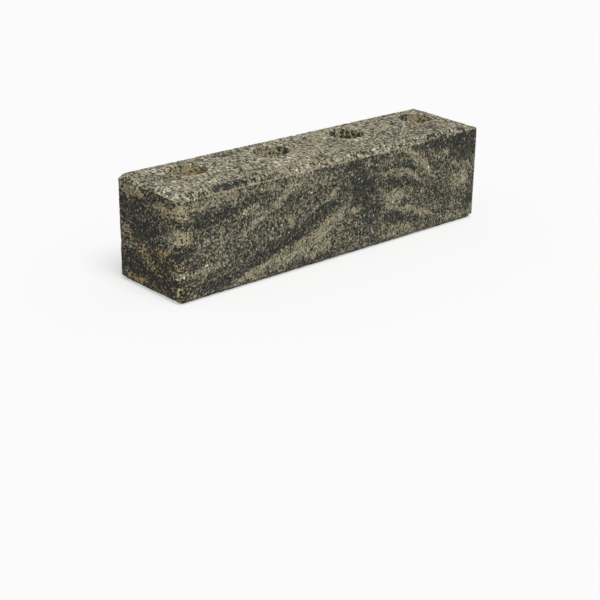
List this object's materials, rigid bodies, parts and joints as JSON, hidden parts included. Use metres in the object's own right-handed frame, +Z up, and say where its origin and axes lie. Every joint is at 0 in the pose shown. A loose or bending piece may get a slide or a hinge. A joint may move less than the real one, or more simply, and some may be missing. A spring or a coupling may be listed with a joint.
{
  "type": "facing brick",
  "caption": "Narrow facing brick of marbled pressed concrete, with bevelled bed edges, rounded upright corners and a row of round through cores.",
  "frame": {"origin": "centre of the bottom bed face, at the bottom of the bounding box", "axes": "+X along the length, the cores are nearer the +X end; +Y towards the back face, the cores are nearer to it, so the show face looks along -Y; +Z up, from the bottom bed to the top bed"},
  "size_m": [0.25, 0.06, 0.065],
  "materials": {
    "pressed_concrete": "matt, fine grained, beige marbled with charcoal"
  },
  "bodies": {
    "root": {"facing_brick": "pressed_concrete"}
  },
  "joints": []
}
